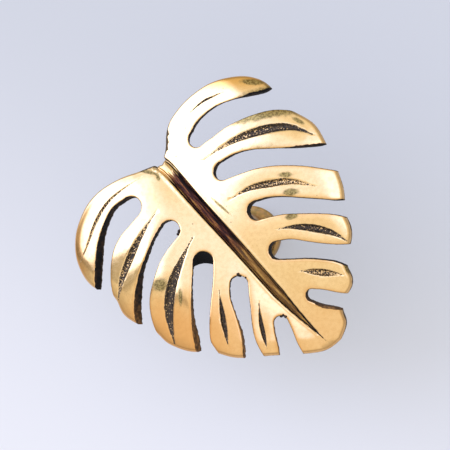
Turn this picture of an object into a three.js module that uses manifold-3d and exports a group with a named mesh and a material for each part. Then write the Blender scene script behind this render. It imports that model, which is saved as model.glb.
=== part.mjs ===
// A cast brass cabinet knob in the form of a split tropical leaf on a round post.
// The knob is one casting. Its foot face lies on z = 0, the post stands on the Z axis and the
// leaf faces +Z, with its stalk notch towards -X +Y and its tip towards +X -Y.
import * as THREE from "three";
import { mergeVertices } from "three/addons/utils/BufferGeometryUtils.js";
import Module from "manifold-3d";

// Leaf dimensions in millimetres
const SPAN = 63.3; // across the leaf from its left edge to its right edge
const PLATE = 2.6; // thickness of the leaf, square to its face
const RIB_HEIGHT = 33.7; // the midrib line above the foot face, beside the post axis
const RIB_ANGLE = -48.3; // heading of the midrib from the stalk notch to the tip, in degrees from +X
const RIB_OFFSET = 0.3; // the midrib line passes this far from the post axis
const VALLEY_SLOPE = 0.16; // rise of each half away from the midrib line
const LEFT_CREST = 12; // the crest of the left half from the midrib line
const RIGHT_CREST = 20;
const LEFT_FALL = 0.36; // slope at which the left half falls beyond its crest
const RIGHT_FALL = 0.25;
const CREST_SOFTNESS = 5; // how gently the crests turn over into the falls
const END_DROP = 4.3; // fall of the leaf's two ends along the midrib
const END_REACH = 30; // distance from the middle at which the ends have fallen that far
const RIM_ROUND = 0.9; // rounding of the outer edge
const EDGE_BREAK = 0.3; // broken edge along each slot

// Midrib dimensions
const MIDRIB = [[-12.2, 14.2], [-8.6, 10.1], [-1.4, 2], [6.4, -6.7], [17.5, -19.7], [24.4, -27]];
const CHANNEL_WIDTH = 2.9; // at the stalk notch
const CHANNEL_DEPTH = 0.95;
const RIB_WIDTH = 2.1;
const RIB_BELOW_FACE = 0.3; // top of the round rib below the lips of its channel
const RIB_NARROWING = 0.25; // share of its width that the midrib loses evenly along its length
const TAPER_START = 0.68; // share of the midrib's length after which it narrows to a point
const POINT_SHARE = 0.04; // what is left of a groove's width and depth at its pointed end

// Groove sections: the depth of the veins, and widths as shares of a groove's own width
const VEIN_DEPTH = 0.6;
const VEIN_FLOOR = 0.55;
const VEIN_MOUTH = 1.25;
const CHANNEL_FLOOR = 0.9;
const CHANNEL_MOUTH = 1.1;
const MOUTH_CLEAR = 0.2; // how far above the face the mouth of a groove tool lies

// Post dimensions
const FOOT_RADIUS = 7;
const FOOT_HEIGHT = 2.6;
const FOOT_ROUND = 0.7;
const NECK_RADIUS = 4.6;
const NECK_FILLET = 2.2; // between the neck and the foot
const FLARE_RADIUS = 5.8; // where the neck meets the back of the leaf
const FLARE_HEIGHT = 4;
const SCREW_CORE_RADIUS = 1.65; // core of an M4 thread
const SCREW_DEPTH = 14;
const SCREW_MOUTH = 0.5; // countersink at the mouth of the screw hole
const SCREW_POINT = 1; // depth of the drill point

// The points below are those of a leaf with this span, and spread with the span
const DRAWN_SPAN = 63.3;
const GROWTH = SPAN / DRAWN_SPAN;

// Outer edge of the uncut leaf, from the stalk notch down the left side to the tip of the leaf
const LEFT_RIM = [
  [-11, 12.1], [-12.9, 12], [-15.6, 11], [-20.3, 9.7], [-25.1, 7.3], [-28.9, 4.1], [-31.6, -0.6],
  [-32.3, -4.5], [-31.8, -8.3], [-29.6, -12.4], [-26.9, -14.6], [-22.3, -16.6], [-20.6, -20.3],
  [-17, -22.7], [-12.4, -24.8], [-10.5, -26.9], [-5.8, -28.9], [-3.2, -29.2], [1.3, -29.6],
  [4.5, -30.6], [7.6, -30.7], [11.6, -30.3], [14.9, -30.1], [20.3, -29.8], [24.5, -29.1], [27.5, -27],
];

// Outer edge from the stalk notch over the right side to the tip of the leaf
const RIGHT_RIM = [
  [-11, 12.1], [-10.2, 15.4], [-10.3, 18], [-9.7, 20.9], [-8.4, 22.9], [-5.5, 25.9], [-0.7, 28.9],
  [4.1, 30.1], [8.6, 30.2], [12.4, 28.9], [14.7, 26.8], [18.5, 22.3], [21.8, 20.2], [23.8, 18.8],
  [25.3, 16.6], [26.7, 13.8], [28.2, 10.6], [29.3, 7.2], [30.1, 4.8], [30.3, 1.9], [30.2, -1.5],
  [31.2, -3.2], [31.4, -6], [30.9, -7.6], [29.8, -11.9], [31, -14], [30.7, -16.6], [29.4, -18],
  [28.1, -20.8], [29.1, -23.6], [27.5, -27],
];

// Slots between the lobes: the relief of its walls at the back of the leaf, then the centre line
// and width from the round inner end to past the rim
const SLOTS = [
  { relief: 0.4, line: [[-17.3, 2.4, 5.2], [-19.6, 0.5, 5.9], [-21.8, -2.3, 5], [-23.4, -5.4, 4.3],
    [-24.3, -9.1, 3.9], [-24.8, -14.5, 4.3], [-24.9, -18, 5.8]] },
  { relief: 0.2, line: [[-8.1, -3.1, 4.6], [-9.8, -5.5, 4.1], [-11.8, -9, 3.5], [-13.5, -12.6, 3.6],
    [-14.7, -16, 3.5], [-15.2, -19.1, 3.7], [-14.9, -23.8, 4.4], [-14.2, -28, 6.5]] },
  { relief: 0, line: [[-0.6, -10, 4.3], [-0.7, -13.4, 4.4], [-1.3, -19.8, 4.1], [-1.6, -24, 3.8],
    [-1.5, -27.2, 3.7], [-0.8, -30.2, 5.2], [0, -34, 8]] },
  { relief: 0, line: [[7, -15.1, 3.8], [7.1, -17.6, 3.9], [7.6, -20.2, 3.4], [8.1, -23.3, 2.7],
    [8.5, -25.7, 2.5], [8.9, -28, 3], [9.8, -33, 6]] },
  { relief: 0, line: [[15.5, -23.3, 3], [15.9, -24.9, 3.5], [16.8, -28.4, 4.1], [18, -33, 6.5]] },
  { relief: 0, line: [[22.3, -17.7, 2.6], [24.3, -18.2, 3.2], [28.3, -19.1, 3.3], [34, -20.6, 6]] },
  { relief: 0, line: [[15.5, -8.2, 3.8], [18.4, -8.1, 4.1], [21.9, -8.4, 3.5], [25, -8.8, 3.3],
    [28, -9.2, 3.5], [31, -9.8, 4.8], [35, -10.6, 7]] },
  { relief: 0, line: [[11.3, 0.3, 4.1], [14.2, 0.9, 4.1], [17.2, 1.1, 3.7], [20.8, 0.9, 3.3],
    [25.2, 0.6, 3], [28.2, 0.3, 3], [34, -0.2, 5.4]] },
  { relief: 0.3, line: [[3.8, 9.2, 4], [7.3, 10.5, 4.5], [10.7, 11.2, 4.2], [14.4, 11.4, 3.7],
    [17.9, 11.4, 3.7], [22.6, 11.3, 4.3], [26.4, 11.2, 5.4], [33, 12, 10]] },
  { relief: 0.5, line: [[-2.2, 16.8, 4], [-0.4, 18.6, 5.2], [3, 20.9, 5.4], [6.6, 22.2, 4.9],
    [10.3, 23.2, 4.6], [14.2, 24.1, 4.8], [18.8, 25.6, 8.6], [25, 27.5, 13]] },
];

// Engraved veins: greatest width, then points along the groove
const VEINS = [
  { width: 1.3, line: [[-15.3, 9], [-18.4, 7.3], [-22.3, 4.5], [-25.7, 0.4], [-28.5, -5.2], [-30.3, -8.3]] },
  { width: 1.7, line: [[-11.4, 0.9], [-14.5, -3.7], [-17.2, -8.1], [-19.6, -12.6], [-21, -17]] },
  { width: 2.2, line: [[-3, -4.9], [-5.8, -10.6], [-7.9, -15.8], [-8.7, -21], [-8.1, -27]] },
  { width: 1.1, line: [[2.8, -16.2], [3.3, -21], [4.2, -27.7]] },
  { width: 0.9, line: [[11.1, -19.1], [11.4, -23.3], [12.4, -28.7]] },
  { width: 1.4, line: [[20.3, -12.6], [25.8, -13.2], [29.1, -13.7]] },
  { width: 1.5, line: [[15.9, -3.8], [19.2, -3.5], [23.4, -3.9], [27.6, -5.1], [30.4, -6.8]] },
  { width: 1.5, line: [[5.9, 3.2], [10.1, 5.1], [15.2, 5.9], [19.5, 6], [24.2, 4.8]] },
  { width: 1.9, line: [[-0.6, 11.9], [4.5, 14.7], [9.5, 16.6], [15.3, 17.7], [19.6, 17.6], [23.6, 16]] },
  { width: 0.5, line: [[-3.9, 22.7], [-0.9, 24.9], [3.8, 26.5]] },
];

// How finely the curves are divided
const RIM_STEPS = 42;
const FACE_ROWS = 5;
const SLOT_STEPS = 11;
const SLOT_END_STEPS = 4;
const GROOVE_STEPS = 14;
const RIB_STEPS = 20;
const POST_SEGMENTS = 32;
const SCREW_SEGMENTS = 24;
const SLOPE_STEP = 0.05; // half the distance over which the slope of the face is taken
const SPINE_INSET = 4; // where the rings of the blank fold flat, from the stalk notch
const RIB_ROOT = 0.3; // how far the rib's solid reaches into the floor of its channel
const CLEAR = 0.6; // how far a cutting tool stands out of the metal

const wasm = await Module();
wasm.setup();

// A closed geometry as a solid that can be joined and cut
function solid(geometry) {
  geometry.deleteAttribute("normal");
  geometry.deleteAttribute("uv");
  const merged = mergeVertices(geometry, 1e-4);
  const index = merged.index.array;
  const triangles = [];
  for (let i = 0; i < index.length; i += 3) {
    const [a, b, c] = index.slice(i, i + 3);
    if (a !== b && b !== c && c !== a) triangles.push(a, b, c);
  }
  return new wasm.Manifold(
    new wasm.Mesh({
      numProp: 3,
      vertProperties: merged.attributes.position.array,
      triVerts: new Uint32Array(triangles),
    }),
  );
}

// A solid as a geometry again
function geometryOf(made) {
  const mesh = made.getMesh();
  const geometry = new THREE.BufferGeometry();
  geometry.setAttribute("position", new THREE.BufferAttribute(mesh.vertProperties, 3));
  geometry.setIndex(new THREE.BufferAttribute(mesh.triVerts, 1));
  geometry.computeVertexNormals();
  return geometry;
}

// Unit vectors along and across the midrib line
const ALONG = new THREE.Vector2(1, 0).rotateAround(new THREE.Vector2(), THREE.MathUtils.degToRad(RIB_ANGLE));
const ACROSS = new THREE.Vector2(-ALONG.y, ALONG.x);

// Height of the leaf's front face. Each half rises from the valley at the midrib as a parabola to
// its crest and falls beyond it as a hyperbola. Both ends fall as a parabola along the midrib.
function faceHeight(x, y) {
  const plan = new THREE.Vector2(x, y);
  const side = plan.dot(ACROSS) - RIB_OFFSET;
  const [crest, fall] = side > 0 ? [RIGHT_CREST, RIGHT_FALL] : [LEFT_CREST, LEFT_FALL];
  const across = Math.hypot(side, 1) - 1;
  const inner = Math.min(across, crest);
  const rise = VALLEY_SLOPE * (inner - inner ** 2 / (2 * crest));
  const beyond = across - inner;
  const drop = fall * (Math.hypot(beyond, CREST_SOFTNESS) - CREST_SOFTNESS);
  return RIB_HEIGHT + rise - drop - END_DROP * (plan.dot(ALONG) / END_REACH) ** 2;
}

// The point that lies at a depth under the front face, measured square to the face
function inLeaf(x, y, depth) {
  const slopeX = (faceHeight(x + SLOPE_STEP, y) - faceHeight(x - SLOPE_STEP, y)) / (2 * SLOPE_STEP);
  const slopeY = (faceHeight(x, y + SLOPE_STEP) - faceHeight(x, y - SLOPE_STEP)) / (2 * SLOPE_STEP);
  const normal = new THREE.Vector3(-slopeX, -slopeY, 1).normalize();
  return new THREE.Vector3(x, y, faceHeight(x, y)).addScaledVector(normal, -depth);
}

// A skin through rings of equally many points, closed where the first and last ring fold flat
function loft(rings) {
  const count = rings[0].length;
  const geometry = new THREE.PlaneGeometry(1, 1, count, rings.length - 1);
  const position = geometry.attributes.position;
  rings.forEach((ring, row) => {
    for (let i = 0; i <= count; i++) {
      const point = ring[i % count];
      position.setXYZ(row * (count + 1) + i, point.x, point.y, point.z);
    }
  });
  return solid(geometry);
}

// A ring drawn together in its middle, which closes the end of a loft
function flat(ring) {
  const middle = ring.reduce((sum, point) => sum.add(point), new THREE.Vector3());
  return ring.map(() => middle.clone().divideScalar(ring.length));
}

// The smooth curve through plan points, at the size of the leaf
function planCurve(points) {
  return new THREE.SplineCurve(points.map(([x, y]) => new THREE.Vector2(x, y).multiplyScalar(GROWTH)));
}

// The leaf before it is slotted: rings run round the rim and step from the midrib over the front
// face to the rounded rim and back under the leaf
function leafBlank() {
  const left = planCurve(LEFT_RIM).getSpacedPoints(RIM_STEPS);
  const right = planCurve(RIGHT_RIM).getSpacedPoints(RIM_STEPS);
  const rim = [...left, ...right.slice(1, -1).reverse()];
  const spineStart = left[0].dot(ALONG) + SPINE_INSET;
  const spineEnd = left.at(-1).dot(ALONG) - SPINE_INSET;
  const spine = left.map((point, i) => {
    const middle = (point.dot(ALONG) + right[i].dot(ALONG)) / 2;
    const along = THREE.MathUtils.clamp(middle, spineStart, spineEnd);
    return ALONG.clone().multiplyScalar(along).addScaledVector(ACROSS, RIB_OFFSET);
  });
  const centre = [...spine, ...spine.slice(1, -1).reverse()];
  const inward = rim.map((point, i) => {
    const before = rim[(i + rim.length - 1) % rim.length];
    const after = rim[(i + 1) % rim.length];
    return new THREE.Vector2(before.y - after.y, after.x - before.x).normalize();
  });
  const inset = (i, distance) => rim[i].clone().addScaledVector(inward[i], distance);
  const ring = (share, distance, depth) =>
    rim.map((_, i) => {
      const point = centre[i].clone().lerp(inset(i, distance), share);
      return inLeaf(point.x, point.y, depth);
    });

  const rings = [];
  for (let row = 0; row <= FACE_ROWS; row++) rings.push(ring(row / FACE_ROWS, RIM_ROUND, 0));
  for (const degrees of [30, 60, 90]) {
    const turn = THREE.MathUtils.degToRad(degrees);
    rings.push(ring(1, RIM_ROUND * (1 - Math.sin(turn)), RIM_ROUND * (1 - Math.cos(turn))));
  }
  rings.push(ring(1, 0, PLATE - EDGE_BREAK));
  rings.push(ring(1, EDGE_BREAK, PLATE));
  for (let row = FACE_ROWS - 1; row >= 0; row--) rings.push(ring(row / FACE_ROWS, EDGE_BREAK, PLATE));
  return loft(rings);
}

// The two edges of a slot in plan, each pushed outward by a margin: half the width on each side of
// the centre line, and a quarter circle each at the round inner end
function slotEdges(stations, margin) {
  const line = new THREE.CatmullRomCurve3(
    stations.map(([x, y, width]) => new THREE.Vector3(x * GROWTH, y * GROWTH, width)),
  );
  const edges = [[], []];
  const pair = (at, across) => {
    edges[0].push(at.clone().add(across));
    edges[1].push(at.clone().sub(across));
  };
  const { x: endX, y: endY, z: endWidth } = line.getPoint(0);
  const end = new THREE.Vector2(endX, endY);
  const { x: startX, y: startY } = line.getTangent(0);
  const heading = new THREE.Vector2(startX, startY).setLength(endWidth / 2 + margin);
  for (let i = 0; i < SLOT_END_STEPS; i++) {
    const turn = ((Math.PI / 2) * i) / SLOT_END_STEPS;
    const at = end.clone().addScaledVector(heading, -Math.cos(turn));
    pair(at, new THREE.Vector2(-heading.y, heading.x).multiplyScalar(Math.sin(turn)));
  }
  for (let i = 0; i <= SLOT_STEPS; i++) {
    const { x, y, z: width } = line.getPoint(i / SLOT_STEPS);
    const tangent = line.getTangent(i / SLOT_STEPS);
    pair(new THREE.Vector2(x, y), new THREE.Vector2(-tangent.y, tangent.x).setLength(width / 2 + margin));
  }
  return edges;
}

// The tool that cuts one slot, with walls square to the leaf's face and a flare that breaks the
// front edge
function slotTool({ relief, line }) {
  const flare = EDGE_BREAK + CLEAR;
  const levels = [[flare, -CLEAR], [0, EDGE_BREAK], [relief, PLATE + CLEAR]];
  const [left, right] = [0, 1].map((side) =>
    levels.map(([margin, depth]) =>
      slotEdges(line, margin)[side].map(({ x, y }) => inLeaf(x, y, depth)),
    ),
  );
  const rings = left[0].map((_, i) => [
    ...left.map((level) => level[i]),
    ...right.map((level) => level[i]).reverse(),
  ]);
  return loft([...rings, flat(rings.at(-1))]);
}

// A bar along a plan curve whose half width and section depend on the place along it.
// A section is a list of [share of the half width, depth under the face].
function bar(path, steps, halfWidth, section) {
  const rings = [];
  for (let i = 0; i <= steps; i++) {
    const t = i / steps;
    const at = path.getPointAt(t);
    const heading = path.getTangentAt(t);
    const across = new THREE.Vector2(heading.y, -heading.x);
    const ring = section(t).map(([share, depth]) => {
      const point = at.clone().addScaledVector(across, share * halfWidth(t));
      return inLeaf(point.x, point.y, depth);
    });
    rings.push(ring);
  }
  return loft([flat(rings[0]), ...rings, flat(rings.at(-1))]);
}

// The section of a groove tool: a flat floor, and sides that lean out to a mouth above the face
function groove(depth, floor, mouth) {
  return [[-mouth, -MOUTH_CLEAR], [-floor, depth], [floor, depth], [mouth, -MOUTH_CLEAR]];
}

// The tool of one engraved vein: a groove that narrows and rises to a point at both ends
function veinTool({ width, line }) {
  const curve = planCurve(line);
  const swell = (t) => Math.max(POINT_SHARE, Math.sin(Math.PI * t));
  const section = (t) => groove(Math.min(VEIN_DEPTH, width / 2) * swell(t), VEIN_FLOOR, VEIN_MOUTH);
  return bar(curve, GROOVE_STEPS, (t) => (width / 2) * swell(t), section);
}

// How the midrib narrows: gently at first, then to a point
function ribTaper(t) {
  return Math.min(1 - RIB_NARROWING * t, Math.max(POINT_SHARE, (1 - t) / (1 - TAPER_START)));
}

// Depth of the midrib's channel
function channelDepth(t) {
  return CHANNEL_DEPTH * Math.sqrt(ribTaper(t));
}

// The midrib's centre line from a point to its end
function ribLine(start) {
  return planCurve([start, ...MIDRIB.slice(1)]);
}

// The tool of the midrib's channel, which runs out through the stalk notch
function channelTool() {
  const section = (t) => groove(channelDepth(t), CHANNEL_FLOOR, CHANNEL_MOUTH);
  return bar(ribLine(MIDRIB[0]), RIB_STEPS, (t) => (CHANNEL_WIDTH / 2) * ribTaper(t), section);
}

// The round rib that lies in the channel and ends just inside the stalk notch
function rib() {
  const section = (t) => {
    const floor = channelDepth(t);
    const top = Math.min(RIB_BELOW_FACE, floor / 2);
    const round = [0, 36, 72, 108, 144, 180].map((degrees) => {
      const turn = THREE.MathUtils.degToRad(degrees);
      return [Math.cos(turn), floor - (floor - top) * Math.sin(turn)];
    });
    return [...round, [-1, floor + RIB_ROOT], [1, floor + RIB_ROOT]];
  };
  return bar(ribLine(LEFT_RIM[0]), RIB_STEPS, (t) => (RIB_WIDTH / 2) * ribTaper(t), section);
}

// The post: a round foot with rounded edges, a neck with a hollow fillet, and a flare under the leaf
function post() {
  const leafBack = faceHeight(0, 0) - PLATE;
  const profile = new THREE.Path();
  profile.moveTo(0, 0);
  profile.lineTo(FOOT_RADIUS - FOOT_ROUND, 0);
  profile.absarc(FOOT_RADIUS - FOOT_ROUND, FOOT_ROUND, FOOT_ROUND, -Math.PI / 2, 0);
  profile.lineTo(FOOT_RADIUS, FOOT_HEIGHT - FOOT_ROUND);
  profile.absarc(FOOT_RADIUS - FOOT_ROUND, FOOT_HEIGHT - FOOT_ROUND, FOOT_ROUND, 0, Math.PI / 2);
  const fillet = Math.min(NECK_FILLET, FOOT_RADIUS - FOOT_ROUND - NECK_RADIUS);
  profile.absarc(NECK_RADIUS + fillet, FOOT_HEIGHT + fillet, fillet, -Math.PI / 2, -Math.PI, true);
  profile.lineTo(NECK_RADIUS, leafBack - FLARE_HEIGHT);
  profile.quadraticCurveTo(NECK_RADIUS, leafBack - FLARE_HEIGHT / 3, FLARE_RADIUS, leafBack);
  profile.lineTo(FLARE_RADIUS, leafBack + PLATE / 2);
  profile.lineTo(0, leafBack + PLATE / 2);
  return solid(new THREE.LatheGeometry(profile.getPoints(2), POST_SEGMENTS));
}

// The tool of the blind screw hole in the foot: countersunk mouth, plain core and drill point
function screwHoleTool() {
  const profile = [
    [0, -CLEAR], [SCREW_CORE_RADIUS + SCREW_MOUTH + CLEAR, -CLEAR], [SCREW_CORE_RADIUS, SCREW_MOUTH],
    [SCREW_CORE_RADIUS, SCREW_DEPTH], [0, SCREW_DEPTH + SCREW_POINT],
  ];
  return solid(new THREE.LatheGeometry(profile.map(([r, z]) => new THREE.Vector2(r, z)), SCREW_SEGMENTS));
}

// A lathe turns about Y, so a turned solid is stood up on Z
function standUp(turned) {
  return turned.rotate([90, 0, 0]);
}

function leafKnob() {
  let leaf = leafBlank();
  for (const slot of SLOTS) leaf = leaf.subtract(slotTool(slot));
  for (const vein of VEINS) leaf = leaf.subtract(veinTool(vein));
  const casting = leaf.add(standUp(post())).subtract(channelTool()).add(rib());
  const brass = new THREE.MeshStandardMaterial({ color: 0xd9a95c, roughness: 0.22, metalness: 1 });
  const mesh = new THREE.Mesh(geometryOf(casting.subtract(standUp(screwHoleTool()))), brass);
  mesh.name = "leaf_knob";
  return mesh;
}

const knob = new THREE.Group();
knob.add(leafKnob());

export default knob;
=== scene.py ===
import bpy
import numpy as np
from mathutils import Matrix, Vector, geometry


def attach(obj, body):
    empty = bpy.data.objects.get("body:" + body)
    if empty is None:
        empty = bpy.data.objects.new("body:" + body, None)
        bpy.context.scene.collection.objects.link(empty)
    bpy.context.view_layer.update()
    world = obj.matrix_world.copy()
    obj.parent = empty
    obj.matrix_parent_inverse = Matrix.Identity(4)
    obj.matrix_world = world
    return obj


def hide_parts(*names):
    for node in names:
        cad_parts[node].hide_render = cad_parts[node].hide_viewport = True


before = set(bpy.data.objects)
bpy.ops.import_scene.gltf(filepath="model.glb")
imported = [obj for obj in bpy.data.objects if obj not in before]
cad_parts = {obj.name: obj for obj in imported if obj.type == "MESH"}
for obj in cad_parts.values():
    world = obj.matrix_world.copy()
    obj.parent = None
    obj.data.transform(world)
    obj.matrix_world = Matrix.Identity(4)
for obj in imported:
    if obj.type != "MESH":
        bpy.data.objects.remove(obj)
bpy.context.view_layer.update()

# The leaf: sand cast brass, 2.6 mm thick, with ten open slots, engraved veins and a sunk midrib.
# Its front is polished by hand over a wavy casting; the engraving, the slot walls and the back
# are blackened. It is one casting with its post. Sizes are in millimetres.
MM = 0.001
RIB_HEIGHT = 33.62  # of the face over the post
RIB_HEADING = np.radians(-48.3)
RIB_OFFSET = 0.3  # how far the midrib passes the post's axis
VALLEY_SLOPE = 0.16  # with which each half rises from the midrib
LEFT_CREST, RIGHT_CREST = 12, 20  # how far from the midrib each half is highest
LEFT_FALL, RIGHT_FALL = 0.36, 0.25  # the slopes beyond
CREST_SOFTNESS = 5  # over how far these slopes set in
END_DROP, END_REACH = 4.3, 30  # how far the ends droop, and where that is measured
PLATE = 2.6
RIM_ROUND = 0.9  # radius of the rim's front edge
EDGE_BREAK, BACK_BREAK = 0.3, 0.25  # and of the slots' front edges and the back's edges
END_SLOPE = 2.7  # how far the third slot's end wall leans out
RAGGED_LEFT, RAGGED_RIGHT = 0.05, 0.02  # how far the slots' edges wander
ALONG = np.array([np.cos(RIB_HEADING), np.sin(RIB_HEADING)])
ACROSS = np.array([-ALONG[1], ALONG[0]])

MIDRIB = [[-11, 12.1], [-8.6, 10.1], [-1.4, 2], [6.4, -6.7], [17.5, -19.7], [24.4, -27]]
CHANNEL_WIDTH, CHANNEL_DEPTH = 2.9, 0.95
RIB_WIDTH, RIB_BELOW_FACE = 2.1, 0.3
RIB_NARROWING, TAPER_START, POINT_SHARE = 0.25, 0.68, 0.04
VEIN_DEPTH, VEIN_POINT = 0.6, 0.15
VALLEY_DEPTH, VALLEY_WIDTH = 0.14, 1.9  # each lobe dips a little towards its vein
LEFT_CROWN, LEFT_CROWN_WIDTH = 0.42, 3.6  # and turns down towards the rim
RIGHT_CROWN, RIGHT_CROWN_WIDTH = 0.36, 6
SLOT_CROWN, SLOT_CROWN_WIDTH = 0.06, 1.4
LIP_HEIGHT, LIP_WIDTH = 0.07, 0.25  # metal raised along the midrib's channel

LEFT_RIM = [
    [-11, 12.1], [-12.9, 12], [-15.6, 11], [-20.3, 9.7], [-25.1, 7.3], [-28.9, 4.1], [-31.6, -0.6],
    [-32.3, -4.5], [-31.8, -8.3], [-29.6, -12.4], [-26.9, -14.6], [-22.3, -16.6], [-20.6, -20.3],
    [-17, -22.7], [-12.4, -24.8], [-10.5, -26.9], [-5.8, -28.9], [-3.2, -29.2], [1.3, -29.6],
    [4.5, -30.6], [7.6, -30.7], [11.6, -30.3], [14.9, -30.1], [20.3, -29.8], [24.5, -29.1],
    [27.5, -27],
]
RIGHT_RIM = [
    [-11, 12.1], [-10.2, 15.4], [-10.3, 18], [-9.7, 20.9], [-8.4, 22.9], [-5.5, 25.9], [-0.7, 28.9],
    [4.1, 30.1], [8.6, 30.2], [12.4, 28.9], [14.7, 26.8], [18.5, 22.3], [21.8, 20.2], [23.8, 18.8],
    [25.3, 16.6], [26.7, 13.8], [28.2, 10.6], [29.3, 7.2], [30.1, 4.8], [30.3, 1.9], [30.2, -1.5],
    [31.2, -3.2], [31.4, -6], [30.9, -7.6], [29.8, -11.9], [31, -14], [30.7, -16.6], [29.4, -18],
    [28.1, -20.8], [29.1, -23.6], [27.5, -27],
]
# Each slot: how much wider it is at the back, at its inner and its outer end, then points along
# its centre line with its width
SLOTS = [
    ((0.3, -0.25), [[-17.3, 2.4, 5.2], [-19.6, 0.5, 5.9], [-21.8, -2.3, 5], [-23.4, -5.4, 4.3],
         [-24.3, -9.1, 3.9], [-24.8, -14.5, 4.3], [-24.9, -18, 5.8]]),
    ((0.4, -0.4), [[-8.1, -3.1, 4.6], [-9.8, -5.5, 4.1], [-11.8, -9, 3.5], [-13.5, -12.6, 3.6],
         [-14.7, -16, 3.5], [-15.2, -19.1, 3.7], [-14.9, -23.8, 4.4], [-14.2, -28, 6.5]]),
    ((0.45, -0.3), [[-0.6, -10, 4.3], [-0.7, -13.4, 4.4], [-1.3, -19.8, 4.1], [-1.6, -24, 3.8],
         [-1.5, -27.2, 3.7], [-0.8, -30.2, 5.2], [0, -34, 8]]),
    ((0.2, -0.1), [[7, -15.1, 3.8], [7.1, -17.6, 3.9], [7.6, -20.2, 3.4], [8.1, -23.3, 2.7],
         [8.5, -25.7, 2.5], [8.9, -28, 3], [9.8, -33, 6]]),
    ((0, 0), [[15.5, -23.3, 3], [15.9, -24.9, 3.5], [16.8, -28.4, 4.1], [18, -33, 6.5]]),
    ((0, 0), [[22.3, -17.7, 2.6], [24.3, -18.2, 3.2], [28.3, -19.1, 3.3], [34, -20.6, 6]]),
    ((0, 0), [[15.5, -8.2, 3.8], [18.4, -8.1, 4.1], [21.9, -8.4, 3.5], [25, -8.8, 3.3],
         [28, -9.2, 3.5], [31, -9.8, 4.8], [35, -10.6, 7]]),
    ((0, 0), [[11.3, 0.3, 4.1], [14.2, 0.9, 4.1], [17.2, 1.1, 3.7], [20.8, 0.9, 3.3],
         [25.2, 0.6, 3], [28.2, 0.3, 3], [34, -0.2, 5.4]]),
    ((0.45, 0.3), [[3.8, 9.2, 4], [7.3, 10.5, 4.5], [10.7, 11.2, 4.2], [14.4, 11.4, 3.7],
         [17.9, 11.4, 3.7], [22.6, 11.3, 4.3], [26.4, 11.2, 5.4], [33, 12, 10]]),
    ((0.95, 0.5), [[-2.2, 16.8, 4], [-0.4, 18.6, 5.2], [3, 20.9, 5.4], [6.6, 22.2, 4.9],
         [10.3, 23.2, 4.6], [14.2, 24.1, 4.8], [18.8, 25.6, 8.6], [25, 27.5, 13]]),
]
# Each vein: its greatest width, then points along it
VEINS = [
    (0.75, [[-15.3, 9], [-18.4, 7.3], [-22.3, 4.5], [-25.7, 0.4], [-28.5, -5.2], [-30.3, -8.3]]),
    (1.7, [[-11.4, 0.9], [-14.5, -3.7], [-17.2, -8.1], [-19.6, -12.6], [-21, -17]]),
    (2.2, [[-3, -4.9], [-5.8, -10.6], [-7.9, -15.8], [-8.7, -21], [-8.1, -27]]),
    (1.1, [[2.8, -16.2], [3.3, -21], [4.2, -27.7]]),
    (0.9, [[11.1, -19.1], [11.4, -23.3], [12.4, -28.7]]),
    (1.4, [[20.3, -12.6], [25.8, -13.2], [29.1, -13.7]]),
    (1.5, [[15.9, -3.8], [19.2, -3.5], [23.4, -3.9], [27.6, -5.1], [30.4, -6.8]]),
    (1.5, [[5.9, 3.2], [10.1, 5.1], [15.2, 5.9], [19.5, 6], [24.2, 4.8]]),
    (1.9, [[-0.6, 11.9], [4.5, 14.7], [9.5, 16.6], [15.3, 17.7], [19.6, 17.6], [23.6, 16]]),
    (0.5, [[-3.9, 22.7], [-0.9, 24.9], [3.8, 26.5]]),
]
# How far towards its outer end each vein is widest
VEIN_SKEW = [1.1, 1.2, 1.2, 1.2, 1.2, 1, 1.1, 1, 1.3, 1]
# How much bare metal shows through the black of each vein, at its inner and its outer end
BARE_GRAINS = [
    (0.9, 0.8), (0.7, 0.7), (0.6, 0.35), (0.2, 0.3), (0.2, 0.3), (0.9, 0.9), (0.5, 0.5), (0.6, 1.1),
    (0.95, 0.2), (0.4, 0.4),
]


def face_height(x, y):
    """Height of the front face: each half rises from the midrib as a parabola to its crest and
    falls beyond it as a hyperbola, and both ends fall as a parabola along the midrib."""
    side = x * ACROSS[0] + y * ACROSS[1] - RIB_OFFSET
    along = x * ALONG[0] + y * ALONG[1]
    crest = np.where(side > 0, RIGHT_CREST, LEFT_CREST)
    fall = np.where(side > 0, RIGHT_FALL, LEFT_FALL)
    across = np.hypot(side, 1) - 1
    inner = np.minimum(across, crest)
    rise = VALLEY_SLOPE * (inner - inner**2 / (2 * crest))
    drop = fall * (np.hypot(across - inner, CREST_SOFTNESS) - CREST_SOFTNESS)
    return RIB_HEIGHT + rise - drop - END_DROP * (along / END_REACH) ** 2


def in_leaf(plan, depth):
    """The points at a depth under plan points: from the face back along its normal, which is
    (-slope in x, -slope in y, 1) made one long."""
    x, y = plan[:, 0], plan[:, 1]
    step = 0.05
    slope_x = (face_height(x + step, y) - face_height(x - step, y)) / (2 * step)
    slope_y = (face_height(x, y + step) - face_height(x, y - step)) / (2 * step)
    normal = np.stack([-slope_x, -slope_y, np.ones_like(x)], 1)
    normal /= np.linalg.norm(normal, axis=1, keepdims=True)
    return np.stack([x, y, face_height(x, y)], 1) - normal * np.reshape(depth, (-1, 1))


def step_lengths(line):
    """How long each step of a polyline is."""
    return np.linalg.norm(np.diff(line, axis=0), axis=1)


def evenly(line, count):
    """A polyline walked in equal steps of its length."""
    line = np.asarray(line, float)
    walked = np.concatenate([[0], np.cumsum(step_lengths(line))])
    at = np.linspace(0, walked[-1], count)
    return np.stack([np.interp(at, walked, line[:, k]) for k in range(line.shape[1])], 1)


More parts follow.
